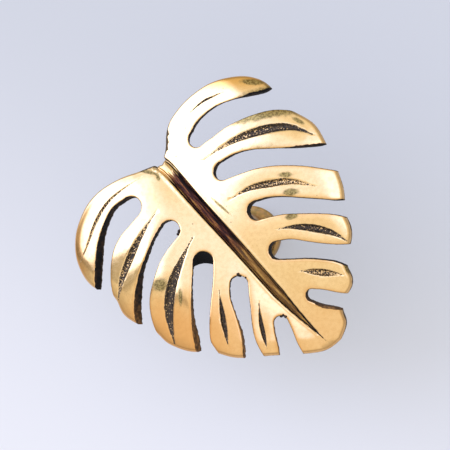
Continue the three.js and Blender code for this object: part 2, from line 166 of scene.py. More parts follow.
def cubics(here, there, leave, arrive, steps):
    """Points on the cubics from each point here to its point there that start with the slope leave
    and end with the slope arrive. At a share u of the way, here weighs 2 u^3 - 3 u^2 + 1, leave
    u^3 - 2 u^2 + u, there 3 u^2 - 2 u^3, and arrive u^3 - u^2."""
    u = np.linspace(0, 1, steps, endpoint=False)[:, None, None]
    curve = (
        (2 * u**3 - 3 * u**2 + 1) * here + (u**3 - 2 * u**2 + u) * leave
        + (3 * u**2 - 2 * u**3) * there + (u**3 - u**2) * arrive
    )
    return curve.transpose(1, 0, 2).reshape(-1, here.shape[1])


def smooth_line(points, steps=60):
    """A Catmull-Rom curve: between two points it is the cubic whose slopes at both are half the
    step from the point before to the point after."""
    p = np.asarray(points, float)
    p = np.vstack([p[:1], p, p[-1:]])
    before, here, there, after = p[:-3], p[1:-2], p[2:-1], p[3:]
    curve = cubics(here, there, (there - before) / 2, (after - here) / 2, steps)
    return np.vstack([curve, p[-1:]])


def slot_line(stations, steps=40):
    """The centre line and width of a slot: a centripetal Catmull-Rom curve, whose steps go with the
    square root of the distance between its points."""
    p = np.asarray(stations, float)
    p = np.vstack([2 * p[0] - p[1], p, 2 * p[-1] - p[-2]])
    gap = np.sqrt(step_lengths(p))[:, None]
    a, b, c, d = p[:-3], p[1:-2], p[2:-1], p[3:]
    ab, bc, cd = gap[:-2], gap[1:-1], gap[2:]
    leave = bc * ((b - a) / ab - (c - a) / (ab + bc) + (c - b) / bc)
    arrive = bc * ((c - b) / bc - (d - b) / (bc + cd) + (d - c) / cd)
    return np.vstack([cubics(b, c, leave, arrive, steps), p[-2:-1]])


def ease(x):
    """A step from 0 to 1 with level ends: three times the square less twice the cube."""
    x = np.clip(x, 0, 1)
    return x * x * (3 - 2 * x)


MARGIN_FROM, MARGIN_OVER = 0.35, 0.3  # where a slot's margin changes, as shares of its length
END_STEPS = 41


def slot_outline(stations, margins):
    """The outline of a slot pushed outward by margins at its two ends, from past the rim along one
    side, round the inner end as a half circle, and back past the rim along the other side."""
    line = slot_line(stations)
    heading = np.gradient(line[:, :2], axis=0)
    heading /= np.linalg.norm(heading, axis=1, keepdims=True)
    left = np.stack([-heading[:, 1], heading[:, 0]], 1)
    share = ease((np.linspace(0, 1, len(line))[:, None] - MARGIN_FROM) / MARGIN_OVER)
    half = line[:, 2:] / 2 + margins[0] * (1 - share) + margins[1] * share
    turn = np.linspace(-np.pi / 2, np.pi / 2, END_STEPS)[1:-1, None]
    end = line[0, :2] + half[0] * (np.sin(turn) * left[0] - np.cos(turn) * heading[0])
    return np.vstack([(line[:, :2] - half * left)[::-1], end, line[:, :2] + half * left])


def crossing(line, rim):
    """Where a line first leaves the rim, as places counted in steps along both. How far along two
    steps cross is a ratio of areas: that of the gap and the other step to that of both steps."""
    a, ab = line[:-1, None], np.diff(line, axis=0)[:, None]
    c, cd = rim[None, :-1], np.diff(rim, axis=0)[None]
    area = ab[..., 0] * cd[..., 1] - ab[..., 1] * cd[..., 0]
    area = np.where(np.abs(area) < 1e-12, 1e-12, area)
    ac = c - a
    s = (ac[..., 0] * cd[..., 1] - ac[..., 1] * cd[..., 0]) / area
    t = (ac[..., 0] * ab[..., 1] - ac[..., 1] * ab[..., 0]) / area
    hit = np.argwhere((s >= 0) & (s <= 1) & (t >= 0) & (t <= 1))[0]
    return hit[0] + s[tuple(hit)], hit[1] + t[tuple(hit)]


def stretch(line, start, end):
    """The part of a polyline between two places counted in steps."""
    at = np.concatenate([[start], np.arange(np.floor(start) + 1, np.ceil(end)), [end]])
    steps = np.arange(len(line))
    return np.stack([np.interp(at, steps, line[:, 0]), np.interp(at, steps, line[:, 1])], 1)


def fair(line, spread):
    """A line whose points are averaged with their neighbours by a bell curve, its ends kept."""
    reach = np.arange(-3 * spread, 3 * spread + 1)
    bell = np.exp(-(reach**2) / (2 * spread**2))
    bell /= bell.sum()
    before = 2 * line[0] - line[3 * spread:0:-1]
    after = 2 * line[-1] - line[-2:-2 - 3 * spread:-1]
    longer = np.vstack([before, line, after])
    return np.stack([np.convolve(longer[:, k], bell, "valid") for k in (0, 1)], 1)


RIM_POINTS, RIM_FAIRING = 700, 7
left_rim, right_rim = (
    fair(evenly(smooth_line(points), RIM_POINTS), RIM_FAIRING) for points in (LEFT_RIM, RIGHT_RIM)
)
RIM = np.vstack([left_rim[:-1], right_rim[::-1]])


def outline_parts(at_back):
    """The rim between the slots and the slots in turn, from the stalk notch round the tip."""
    parts, rim_at = [], 0
    for relief, stations in SLOTS:
        outline = slot_outline(stations, np.array(relief) * at_back)
        middle = len(outline) // 2
        back_out = outline[middle::-1]
        enters, rim_in = crossing(back_out, RIM)
        leaves, rim_out = crossing(outline[middle:], RIM)
        parts += [stretch(RIM, rim_at, rim_in), stretch(outline, middle - enters, middle + leaves)]
        rim_at = rim_out
    return parts + [stretch(RIM, rim_at, len(RIM) - 1)]


STEP = 0.23  # between two points of the outline
FEWEST = 8  # steps in a part of it
front_parts, back_parts = outline_parts(0), outline_parts(1)
counts = [max(FEWEST, int(step_lengths(part).sum() / STEP)) for part in front_parts]
front_loop = np.vstack([evenly(part, n + 1)[:-1] for part, n in zip(front_parts, counts)])
back_loop = np.vstack([evenly(part, n + 1)[:-1] for part, n in zip(back_parts, counts)])

# The slots on the left, the first four, are ragged, as they came out of the sand, and most so on
# the walls that face right. Three sines of the way along the edge make the wander.
slot_number = np.concatenate([np.full(n, (k + 1) // 2 * (k % 2)) for k, n in enumerate(counts)])
walked = np.arange(len(front_loop)) * STEP
wander = np.sin(3.1 * walked) + 0.7 * np.sin(5.7 * walked + 1) + 0.5 * np.sin(9.3 * walked + 2)
ahead = np.roll(front_loop, -1, axis=0) - np.roll(front_loop, 1, axis=0)
outward = np.stack([ahead[:, 1], -ahead[:, 0]], 1) / np.linalg.norm(ahead, axis=1, keepdims=True)
rough = np.where(slot_number < 5, RAGGED_LEFT, RAGGED_RIGHT) * (slot_number > 0)
rough = rough * np.clip(0.3 + outward[:, 0], 0.15, 1)
front_loop = front_loop + outward * (rough * wander)[:, None]
back_loop = back_loop + outward * (rough * wander)[:, None]

# Three of the corners between a slot and the rim were filed round
FILED_CORNERS, FILED_REACH = [(-22.6, -16.5), (-11.4, -25.9), (18.5, 22.3)], 2.4
FILED_SPREAD, FILED_POINTS = 4.5, 12
bell = np.exp(-((np.arange(-FILED_POINTS, FILED_POINTS + 1) / FILED_SPREAD) ** 2) / 2)


def filed(loop):
    """A closed outline averaged with its neighbours by a bell curve near some of its corners."""
    moved = (weight * np.roll(loop, k - FILED_POINTS, axis=0) for k, weight in enumerate(bell))
    smooth = sum(moved) / bell.sum()
    off = np.min([np.linalg.norm(loop - corner, axis=1) for corner in FILED_CORNERS], axis=0)
    share = ease(2 - off / FILED_REACH)[:, None]
    return loop * (1 - share) + smooth * share


front_loop, back_loop = filed(front_loop), filed(back_loop)

# The mould left the inner end of the third slot with a long slope, whose walls are drawn near black
SLOPE_RISE, SLOPE_START, SLOPE_REACH = 4.4, 1.9, 4.5
slope_centre = np.array(SLOTS[2][1][0][:2])
off = np.linalg.norm(back_loop - slope_centre, axis=1)
above = np.clip((back_loop[:, 1] - slope_centre[1] + SLOPE_START) / SLOPE_RISE, 0, 1)
back_loop = back_loop - np.outer(END_SLOPE * above * (off < SLOPE_REACH), [0, 1])

BLOCK = 4000  # points that are compared with a line at once, so that the tables stay small


def nearest_corner(points, line):
    """The number of the line's corner that each point is nearest to."""
    blocks = np.array_split(points, max(1, len(points) // BLOCK))
    return np.concatenate([((line**2).sum(1) - 2 * block @ line.T).argmin(1) for block in blocks])


def nearest(points, line, closed=False):
    """Distance of each point from a polyline, its side of it, and how far along it the place is:
    the closer of the two steps that meet at the nearest corner."""
    line = np.vstack([line, line[:1]]) if closed else line
    start, run = line[:-1], np.diff(line, axis=0)
    length = np.maximum(step_lengths(line), 1e-9)
    walked = np.concatenate([[0], np.cumsum(length)])
    found = []
    for block in np.array_split(points, max(1, len(points) // BLOCK)):
        corner = nearest_corner(block, line)
        tries = []
        for k in (np.maximum(corner - 1, 0), np.minimum(corner, len(run) - 1)):
            ahead = block - start[k]
            t = np.clip((ahead * run[k]).sum(1) / length[k] ** 2, 0, 1)
            off = ahead - t[:, None] * run[k]
            side = run[k, 0] * off[:, 1] - run[k, 1] * off[:, 0]
            gap = np.hypot(off[:, 0], off[:, 1])
            tries.append(np.stack([gap, side, walked[k] + t * length[k]], 1))
        closer = tries[0][:, :1] < tries[1][:, :1]
        found.append(np.where(closer, tries[0], tries[1]))
    found = np.vstack(found)
    return found[:, 0], np.sign(found[:, 1]), found[:, 2]


vein_lines = [evenly(smooth_line(points), 90) for _, points in VEINS]
rib_line = evenly(smooth_line(MIDRIB), 400)
rib_length = step_lengths(rib_line).sum()
slot_lines = [slot_outline(stations, (0, 0))[::3] for _, stations in SLOTS]


def rib_taper(t):
    """Share of the midrib's width at a share t of its length: it narrows evenly, then from
    TAPER_START on to a point."""
    return np.minimum(1 - RIB_NARROWING * t, np.maximum(POINT_SHARE, (1 - t) / (1 - TAPER_START)))


def rounding(gap, radius):
    """Depth of a quarter round beside an edge: the radius less the circle's height there."""
    inside = np.clip(radius - gap, 0, radius)
    return radius - np.sqrt(radius**2 - inside**2)


GROOVE_WIDER, GROOVE_WALL = 1.1, 0.55  # the groove against the vein's width, its wall against half
CHANNEL_WIDER, CHANNEL_WALL = 1.05, 0.3  # and the midrib's channel's
FAR = 9.0  # a distance where nothing of a groove shows


def relief_map(plan):
    """Depth of the front surface at plan points, and what the finish needs to know there. The depth
    is the rounding of the edge, plus a crown towards the rim and the slots (the square of how near
    they are), plus each vein's groove and its valley (a bell curve), plus the midrib's channel with
    a round rod in it (the root of one less the square), less the lip beside it (a bell curve)."""
    rim_gap = nearest(plan, RIM[::3])[0]
    slot_gap = np.min([nearest(plan, line)[0] for line in slot_lines], axis=0)
    depth = np.maximum(rounding(rim_gap, RIM_ROUND), rounding(slot_gap, EDGE_BREAK))
    right = ease((plan @ ACROSS + 3) / 6)
    crown = LEFT_CROWN * np.clip(1 - rim_gap / LEFT_CROWN_WIDTH, 0, 1) ** 2 * (1 - right)
    crown = crown + RIGHT_CROWN * np.clip(1 - rim_gap / RIGHT_CROWN_WIDTH, 0, 1) ** 2 * right
    depth = depth + crown
    depth = depth + SLOT_CROWN * np.clip(1 - slot_gap / SLOT_CROWN_WIDTH, 0, 1) ** 2
    vein_gap = np.full(len(plan), FAR)
    bare_share = np.zeros(len(plan))
    for (width, _), line, (inner, outer), skew in zip(VEINS, vein_lines, BARE_GRAINS, VEIN_SKEW):
        gap, _, walked = nearest(plan, line)
        t = walked / step_lengths(line).sum()
        swell = np.maximum(VEIN_POINT, np.sin(np.pi * np.clip(t, 0, 1) ** skew))
        half = GROOVE_WIDER * width / 2 * swell
        groove = min(VEIN_DEPTH, width / 2) * swell * ease((half - gap) / (GROOVE_WALL * half))
        depth = depth + groove + VALLEY_DEPTH * swell * np.exp(-((gap / VALLEY_WIDTH) ** 2))
        bare = inner + (outer - inner) * t - 0.3 * swell
        bare_share = np.where(gap - half < vein_gap, bare, bare_share)
        vein_gap = np.minimum(vein_gap, gap - half)
    gap, side, walked = nearest(plan, rib_line)
    taper = rib_taper(walked / rib_length)
    half = CHANNEL_WIDTH / 2 * taper
    floor = CHANNEL_DEPTH * np.sqrt(taper)
    top = np.minimum(RIB_BELOW_FACE, floor / 2)
    inside = np.clip(1 - (gap / (RIB_WIDTH / 2 * taper)) ** 2, 0, 1)
    wall = ease((CHANNEL_WIDER * half - gap) / (CHANNEL_WALL * half))
    channel = floor * wall - (floor - top) * np.sqrt(inside)
    edge = gap - CHANNEL_WIDER * half
    lip = LIP_HEIGHT * taper * np.exp(-(((edge - 0.2) / LIP_WIDTH) ** 2))
    depth = depth + np.maximum(channel, 0) - lip
    return depth, vein_gap, gap * side, walked, edge, rim_gap, slot_gap, bare_share


ROW_OWN_SHARE = 0.93  # how near its distance a point has to be


def rows_beside(loop, offsets):
    """Rows of points that follow a closed outline inside it at the given distances, without the
    points that come nearer to another part of it."""
    run = np.roll(loop, -1, axis=0) - np.roll(loop, 1, axis=0)
    inward = np.stack([-run[:, 1], run[:, 0]], 1) / np.linalg.norm(run, axis=1, keepdims=True)
    rows = np.vstack([loop + offset * inward for offset in offsets])
    offsets = np.repeat(offsets, len(loop))
    kept = nearest(rows, loop, True)[0] > ROW_OWN_SHARE * offsets
    return rows[kept], offsets[kept]


def rows_along(line, offsets, count):
    """Rows of points that follow an open line on both sides, at the given distances."""
    line = evenly(line, count)
    run = np.gradient(line, axis=0)
    left = np.stack([-run[:, 1], run[:, 0]], 1) / np.linalg.norm(run, axis=1, keepdims=True)
    return (line[:, None] + np.multiply.outer(offsets, left).transpose(1, 0, 2)).reshape(-1, 2)


def fill(loop, spacing):
    """Points all over an outline's box at the corners of equal triangles."""
    low, high = loop.min(0), loop.max(0)
    row_step = spacing * 0.866
    x, y = np.meshgrid(
        np.arange(low[0], high[0], spacing), np.arange(low[1], high[1], row_step), indexing="ij"
    )
    x = x + spacing / 2 * (np.arange(x.shape[1]) % 2)
    return np.stack([x.ravel(), y.ravel()], 1)


def inside_loop(points, loop):
    """True for points that an outline goes round: to their right it crosses their height an odd
    number of times."""
    nxt = np.roll(loop, -1, axis=0)
    rise = nxt[:, 1] - loop[:, 1]
    lean = (nxt[:, 0] - loop[:, 0]) / np.where(rise == 0, 1, rise)
    found = []
    for block in np.array_split(points, max(1, 2 * len(points) // BLOCK)):
        y = block[:, 1:]
        over = (loop[:, 1] > y) != (nxt[:, 1] > y)
        at = loop[:, 0] + (y - loop[:, 1]) * lean
        found.append((over & (block[:, :1] < at)).sum(1) % 2 == 1)
    return np.concatenate(found)


def well_inside(points, loop, gap):
    """The points inside an outline that are further from it than a gap."""
    points = points[inside_loop(points, loop)]
    return points[nearest(points, loop, True)[0] > gap]


def joined(loop, others):
    """Triangles between an outline and points inside it, as near to equal sides as they can be."""
    points = np.vstack([loop, others])
    outline = [list(range(len(loop)))]
    made = geometry.delaunay_2d_cdt(points.tolist(), [], outline, 1, 1e-6)
    return points, np.array(made[2])


# Front: rows beside the edge, rows along the grooves, and an even filling between them
EDGE_ROWS = [0.04, 0.1, 0.18, 0.3, 0.45, 0.65, 0.9, 1.2]
RIB_REACH, RIB_ROWS, RIB_STEPS = 1.75, 21, 280
VEIN_REACH, VEIN_ROWS, VEIN_STEPS = 0.62, 11, 85  # the reach is a share of the vein's width
FRONT_SPACING = 0.42
EDGE_CLEAR, RIB_CLEAR, VEIN_CLEAR, GROOVE_CLEAR = 1.35, 1.9, 0.12, 0.35  # free of other points
RIB_NEAR, OUTER_ROWS = 1.8, 0.5  # this near to the midrib only the outer rows are kept
edge_rows, edge_offsets = rows_beside(front_loop, EDGE_ROWS)
groove_rows = [rows_along(rib_line, np.linspace(-RIB_REACH, RIB_REACH, RIB_ROWS), RIB_STEPS)]
vein_reaches = [VEIN_REACH * width for width, _ in VEINS]
for reach, line in zip(vein_reaches, vein_lines):
    groove_rows.append(rows_along(line, np.linspace(-reach, reach, VEIN_ROWS), VEIN_STEPS))
groove_rows = np.vstack(groove_rows)
filling = fill(front_loop, FRONT_SPACING)
rib_gap = nearest(filling, rib_line)[0]
vein_near = np.min(
    [nearest(filling, line)[0] - reach for reach, line in zip(vein_reaches, vein_lines)], axis=0
)
filling = filling[(rib_gap > RIB_CLEAR) & (vein_near > VEIN_CLEAR)]
filling = well_inside(filling, front_loop, EDGE_CLEAR)
near_rib = nearest(edge_rows, rib_line)[0] < RIB_NEAR
edge_rows = edge_rows[~(near_rib & (edge_offsets > OUTER_ROWS))]
groove_rows = well_inside(groove_rows, front_loop, GROOVE_CLEAR)
front_plan, front_faces = joined(front_loop, np.vstack([edge_rows, groove_rows, filling]))
depth, vein_gap, rib_across, rib_along, rib_edge, rim_gap, slot_gap, bare_share = relief_map(
    front_plan
)
front = in_leaf(front_plan, depth)

# Back: the same outline as the walls reach it, with a broken edge
BACK_ROWS, BACK_SPACING, BACK_CLEAR = [0.06, 0.14, 0.25], 0.9, 0.6
back_rows, _ = rows_beside(back_loop, BACK_ROWS)
back_fill = well_inside(fill(back_loop, BACK_SPACING), back_loop, BACK_CLEAR)
back_plan, back_faces = joined(back_loop, np.vstack([back_rows, back_fill]))
back_depth = PLATE - rounding(nearest(back_plan, back_loop, True)[0], BACK_BREAK)
back = in_leaf(back_plan, back_depth)

# Walls: straight from the front outline to the back outline in a few steps
WALL_STEPS = 5
around = len(front_loop)
down = np.linspace(0, 1, WALL_STEPS + 1)[1:-1, None]
wall_plan = front_loop[None] * (1 - down[..., None]) + back_loop[None] * down[..., None]
wall_depth = depth[:around] * (1 - down) + back_depth[:around] * down
wall = in_leaf(wall_plan.reshape(-1, 2), wall_depth.ravel())
ring = np.arange(around)
rings = [ring] + [len(front) + k * around + ring for k in range(WALL_STEPS - 1)]
rings.append(len(front) + len(wall) + ring)
wall_faces = np.vstack([
    np.stack([lower, np.roll(lower, -1), np.roll(upper, -1), upper], 1)
    for upper, lower in zip(rings[:-1], rings[1:])
])


def put_mesh(name, points, *face_sets):
    """A smooth mesh from points in millimetres and arrays of corner numbers."""
    mesh = bpy.data.meshes.new(name)
    faces = sum((face_set.tolist() for face_set in face_sets), [])
    mesh.from_pydata((points * MM).tolist(), [], faces)
    mesh.validate()
    mesh.polygons.foreach_set("use_smooth", np.ones(len(mesh.polygons), bool))
    piece = bpy.data.objects.new(name, mesh)
    bpy.context.scene.collection.objects.link(piece)
    return piece


def mark(piece, name, values):
    """A number at each point of a piece, for its finish to follow."""
    field = piece.data.attributes.new(name, "FLOAT", "POINT")
    field.data.foreach_set("value", np.asarray(values, np.float32))


back_faces = (back_faces + len(front) + len(wall))[:, ::-1]
leaf = put_mesh("leaf", np.vstack([front, wall, back]), front_faces, wall_faces, back_faces)


def over_all(values, wall_value, back_value):
    """Values of the front, then those of the walls and the back."""
    wall_values, back_values = wall_value * np.ones(len(wall)), back_value * np.ones(len(back))
    return np.concatenate([values, wall_values, back_values])


# Painted dark reflections: olive patches on the polish, also made rougher. Each: centre, half
# length, half width, heading
DARK_REFLECTION_PATCHES = [
    ((-10.4, -14.6), 1.9, 1.4, 0), ((-5.7, -17.4), 0.6, 1.9, 0), ((18, 7.5), 1.8, 0.65, 0),
    ((19, 3.8), 1.9, 0.85, 0), ((18.9, -1.3), 1.5, 0.75, 10), ((-14, 10.4), 3.4, 0.5, -18),
    ((-11.2, 8.9), 0.5, 1.2, 20), ((20.6, 19.1), 1.6, 0.5, -30),
    ((10.2, 28.3), 3.0, 0.75, -8), ((30, -12.3), 0.5, 1.5, 20), ((3.3, 1.7), 3.6, 0.3, -42),
]
# And painted dark reflections along edges: centre, reach, width
DARK_REFLECTION_EDGES = [((13.2, 20.9), 6, 1.5)]
dull = np.zeros(len(front_plan))
for centre, half_length, half_width, heading in DARK_REFLECTION_PATCHES:
    turn = np.radians(heading)
    off = front_plan - centre
    u = (off @ [np.cos(turn), np.sin(turn)]) / half_length
    v = (off @ [-np.sin(turn), np.cos(turn)]) / half_width
    dull = np.maximum(dull, 1.6 - np.hypot(u, v))
for centre, reach, width in DARK_REFLECTION_EDGES:
    off = np.linalg.norm(front_plan - centre, axis=1) / reach
    dull = np.maximum(dull, 1.9 - np.hypot(off, np.minimum(rim_gap, slot_gap) / width))

# The black of the walls runs over their edges: a little round a slot, least where its wall faces
# left, and further in a few places: centre, reach, width, in a slot
STAINS = [
    ((11.8, 26.1), 4.2, 0.23, True), ((23, 13.6), 4.6, 0.28, True),
    ((25.5, -20.1), 3.4, 0.26, True), ((-10.4, 17.2), 4.6, 0.95, False),
    ((-13.5, 11.6), 3.2, 0.6, False),
]
edge_black = np.where(slot_number > 0, 0.05 + 0.08 * ease(outward[:, 0] + 0.5), 0.05)
for centre, reach, width, in_slot in STAINS:
    off = np.linalg.norm(front_loop - centre, axis=1) / reach
    edge_black = edge_black + width * ease(1.6 - 1.6 * off) * ((slot_number > 0) == in_slot)
edge_black = edge_black[nearest_corner(front_plan, front_loop)]

slot_part = np.concatenate([np.full(n, k % 2) for k, n in enumerate(counts)])
wall_slot = np.tile(slot_part, WALL_STEPS - 1)
# What the finish follows: its values on the front, on the walls and on the back
MARKS = {
    "vein_gap": (vein_gap, FAR, FAR), "bare_share": (bare_share, 0, 0),
    "rib_across": (rib_across, FAR, FAR), "rib_along": (rib_along, 0, 0),
    "rib_edge": (rib_edge, FAR, FAR),
    "outline_gap": (np.minimum(rim_gap, slot_gap), 0, 0),
    "front_share": (np.ones(len(front)), 0, 0), "in_slot": (slot_gap < rim_gap, wall_slot, 0),
    "dull": (dull, 0, 0), "edge_black": (edge_black, 0, 0),
}
for name, (front_values, wall_value, back_value) in MARKS.items():
    mark(leaf, name, over_all(front_values, wall_value, back_value))


def linear(code):
    """A hex colour as written for the screen, turned to linear light."""
    value = np.array([int(code[k:k + 2], 16) for k in (1, 3, 5)]) / 255
    light = np.where(value <= 0.04045, value / 12.92, ((value + 0.055) / 1.055) ** 2.4)
    return (*light.tolist(), 1.0)


def add(kind, *inputs, **settings):
    """Adds a node with its settings to the tree at hand. Its inputs in turn are linked or set, or
    left alone for None, and its first output comes back."""
    node = tree.nodes.new("ShaderNode" + kind)
    for key, value in settings.items():
        setattr(node, key, value)
    for socket, value in zip([one for one in node.inputs if one.enabled], inputs):
        if isinstance(value, bpy.types.NodeSocket):
            tree.links.new(value, socket)
        elif value is not None:
            socket.default_value = value
    return next((one for one in node.outputs if one.enabled), None)


def material(name):
    """An empty material and its tree."""
    made = bpy.data.materials.new(name)
    made.use_nodes = True
    made.node_tree.nodes.clear()
    return made, made.node_tree


# The settings that come back again and again
RGBA, SOFT = {"data_type": "RGBA"}, {"interpolation_type": "SMOOTHSTEP"}
TIMES, TIMES_PLUS = {"operation": "MULTIPLY"}, {"operation": "MULTIPLY_ADD"}
PLUS, MINUS, GREATER = {"operation": "ADD"}, {"operation": "SUBTRACT"}, {"operation": "MAXIMUM"}

# Polished brass over blackened cast brass: the high metal mirrors like gold, and what the wheel
# can't reach stays black brown and grainy.
brass, tree = material("polished blackened cast brass")
place = add("TexCoord").node.outputs["Object"]
x_place, y_place, _ = add("SeparateXYZ", place).node.outputs
marks = {name: add("Attribute", attribute_name=name).node.outputs["Fac"] for name in MARKS}

# Sand grain of the casting is finer than a pixel, and is drawn 0.4 mm wide so that it shows
sand = add("TexNoise", place, 1 / (0.4 * MM), 2.0)
ragged = add("Math", add("TexNoise", place, 1 / (0.9 * MM), 2.0), 0.5, **MINUS)
clouds = add("TexNoise", place, 1 / (7 * MM), 2.0)

# Polish: pale clouds and a faint mottle of wear
polished = add("Mix", clouds, linear("#e5c083"), linear("#edce98"), **RGBA)
mottle = add("TexNoise", place, 1 / (0.8 * MM), 3.0)
mottle = add("MapRange", mottle, 0.35, 0.68, 0.0, 0.26, **SOFT)
polished = add("Mix", mottle, polished, linear("#c99f63"), **RGBA)

# Orange on the lowest lobes and the left flank: painted reflection of the darker, warmer
# surroundings that these down- and left-facing parts mirror. Tarnish on the top lobe's tip, and
# orange along the edges.
low_lobes = add("Math", clouds, 0.006, y_place, **TIMES_PLUS)
low_lobes = add("MapRange", low_lobes, -0.010, -0.021, **SOFT)
toward_left = add("MapRange", x_place, 0.014, -0.004, 0.45, 1.0, **SOFT)
low_lobes = add("Math", low_lobes, toward_left, **TIMES)
left_flank = add("Math", clouds, 0.006, x_place, **TIMES_PLUS)
left_flank = add("MapRange", left_flank, -0.022, -0.029, **SOFT)
# Painted reflection: the orange of the lowest lobes and the left flank together
painted_orange_reflection = add("Math", low_lobes, left_flank, **GREATER)
upper_tip = add("MapRange", y_place, 0.0258, 0.0290, **SOFT)
upper_tip = add("Math", upper_tip, add("MapRange", x_place, -0.006, 0.004, **SOFT), **TIMES)
# Orange within 0.9 mm of the edges
orange_edge = add("MapRange", marks["outline_gap"], 0.9, 0.2, **SOFT)

# Pits: a few dark pinholes, some 3 mm apart, in parts of the face
pits = add("TexVoronoi", place, 1 / (3.2 * MM))
pits = add("MapRange", pits, 0.065, 0.04, **SOFT)
pitted = add("MapRange", add("TexNoise", place, 1 / (6 * MM), 2.0), 0.46, 0.54, **SOFT)
pits = add("Math", pits, pitted, **TIMES)
LAYERS = (
    (painted_orange_reflection, 0.75, "#db9f5c"), (upper_tip, 0.85, "#d9a350"), (orange_edge, 0.35, "#cf9350"),
    (pits, 0.6, "#6b4c2a"),
)
for spread, share, code in LAYERS:
    spread = add("Math", spread, share, **TIMES)
    polished = add("Mix", spread, polished, linear(code), **RGBA)

# Dull patches: painted dark reflection, olive with the sand's grain, on rougher metal
dark_reflection = add("Math", ragged, 0.55, marks["dull"], **TIMES_PLUS)
dark_reflection = add("MapRange", dark_reflection, 0.42, 1.0, **SOFT)
skin = add("MapRange", sand, 0.4, 0.6, **SOFT)
skin = add("Mix", skin, linear("#574a24"), linear("#94814a"), **RGBA)
colour = add("Mix", add("Math", dark_reflection, 0.88, **TIMES), polished, skin, **RGBA)

# Grooves: black brown with bare grains
groove = add("Math", ragged, 0.35, marks["vein_gap"], **TIMES_PLUS)
groove = add("MapRange", groove, 0.05, -0.08, **SOFT)
threshold = add("Math", marks["bare_share"], -0.24, 0.68, **TIMES_PLUS)
bare = add("Math", add("TexNoise", place, 1 / (0.3 * MM), 2.0), threshold, **MINUS)
bare = add("MapRange", bare, -0.025, 0.03, **SOFT)
blackened = add("MapRange", sand, 0.35, 0.52, **SOFT)
blackened = add("Mix", blackened, linear("#120d09"), linear("#3d2e1b"), **RGBA)
groove_colour = add("Mix", bare, blackened, linear("#dcb57a"), **RGBA)
groove_dark = add("Math", groove, add("MapRange", bare, 0, 1, 1, 0.45, **SOFT), **TIMES)

# Midrib: a rod with streaks along it, dark in its crevices and rubbed golden at the notch
along_rib = add("Math", marks["rib_along"], 0.09, **TIMES)
along_rib = add("CombineXYZ", marks["rib_across"], along_rib)
streaks = add("TexNoise", along_rib, 1 / 0.45, 3.0)
lower = add("MapRange", marks["rib_along"], 22, 32, **SOFT)
right_side = add("MapRange", marks["rib_across"], -0.1, 0.7, **SOFT)
upper_right = add("Math", right_side, add("MapRange", lower, 1, 0, **SOFT), **TIMES)
tone = add("Math", lower, 0.08, streaks, **TIMES_PLUS)
tone = add("Math", upper_right, -0.13, tone, **TIMES_PLUS)
rib_colour = add("ValToRGB", tone)
ramp = rib_colour.node.color_ramp
RIB_TONES = (
    (0.34, "#140a09"), (0.45, "#3c1e18"), (0.54, "#66391f"), (0.62, "#8e622c"), (0.74, "#bb8f48"),
)
for spot, code in RIB_TONES:
    ramp.elements.new(spot).color = linear(code)
ramp.elements.remove(ramp.elements[0])
ramp.elements.remove(ramp.elements[-1])
rib_colour = add("Mix", add("Math", lower, 0.4, **TIMES), rib_colour, linear("#866834"), **RGBA)
crevice = add("Math", streaks, 0.4, marks["rib_edge"], **TIMES_PLUS)
crevice = add("MapRange", crevice, -0.25, 0.0, **SOFT)
rib_colour = add("Mix", crevice, rib_colour, linear("#120d0b"), **RGBA)
rib_edge = add("Math", ragged, 0.3, marks["rib_edge"], **TIMES_PLUS)
in_channel = add("MapRange", rib_edge, 0.04, -0.08, **SOFT)
saddle = add("Math", streaks, 9.0, marks["rib_along"], **TIMES_PLUS)
saddle = add("MapRange", saddle, 7.5, 9.5, **SOFT)
channel = add("Math", in_channel, saddle, **TIMES)
# The left crevice stays black right up to the notch
in_crevice = add("MapRange", rib_edge, -0.42, -0.3, **SOFT)
in_crevice = add("Math", in_crevice, add("MapRange", rib_edge, 0.05, -0.05, **SOFT), **TIMES)
left_side = add("MapRange", marks["rib_across"], -0.2, 0.2, **SOFT)
in_crevice = add("Math", in_crevice, left_side, **TIMES)
channel = add("Math", channel, in_crevice, **GREATER)
rib_colour = add("Mix", in_crevice, rib_colour, linear("#1a1410"), **RGBA)
rubbed = add("MapRange", streaks, 0.42, 0.58, **SOFT)
rubbed = add("Mix", rubbed, linear("#8a6a38"), linear("#d8ab66"), **RGBA)

# Walls and back: blackened all over, brown where it has worn thin
beside = add("Math", ragged, 0.3, marks["front_share"], **TIMES_PLUS)
beside = add("Math", marks["outline_gap"], 2.0, beside, **TIMES_PLUS)
slot_wall = add("MapRange", beside, 1.0, 0.9, **SOFT)
slot_wall = add("Math", slot_wall, marks["in_slot"], **TIMES)
rim_wall = add("MapRange", beside, 0.55, 0.4, **SOFT)
past_black = add("Math", marks["outline_gap"], marks["edge_black"], **MINUS)
wobble = add("Math", marks["edge_black"], 0.9, 0.22, **TIMES_PLUS)
wobble = add("Math", ragged, wobble, **TIMES)
edge_line = add("Math", past_black, wobble, **PLUS)
edge_line = add("MapRange", edge_line, 0.055, -0.055, **SOFT)
wall_share = add("Math", add("Math", slot_wall, rim_wall, **GREATER), edge_line, **GREATER)
wall_colour = add("TexNoise", place, 1 / (1.6 * MM), 2.0)
wall_colour = add("MapRange", wall_colour, 0.42, 0.66, **SOFT)
wall_colour = add("Mix", wall_colour, linear("#0f0b09"), linear("#3e2b1a"), **RGBA)
worn_ends = add("Math", ragged, 0.01, y_place, **TIMES_PLUS)
worn_ends = add("MapRange", worn_ends, -0.015, -0.024, **SOFT)
worn_spots = add("TexNoise", place, 1 / (0.7 * MM), 2.0)
worn_spots = add("MapRange", worn_spots, 0.4, 0.6, 0.35, 0.95, **SOFT)
worn_ends = add("Math", worn_ends, worn_spots, **TIMES)
wall_colour = add("Mix", worn_ends, wall_colour, linear("#946a38"), **RGBA)
wall_colour = add("Mix", marks["in_slot"], linear("#5a4930"), wall_colour, **RGBA)
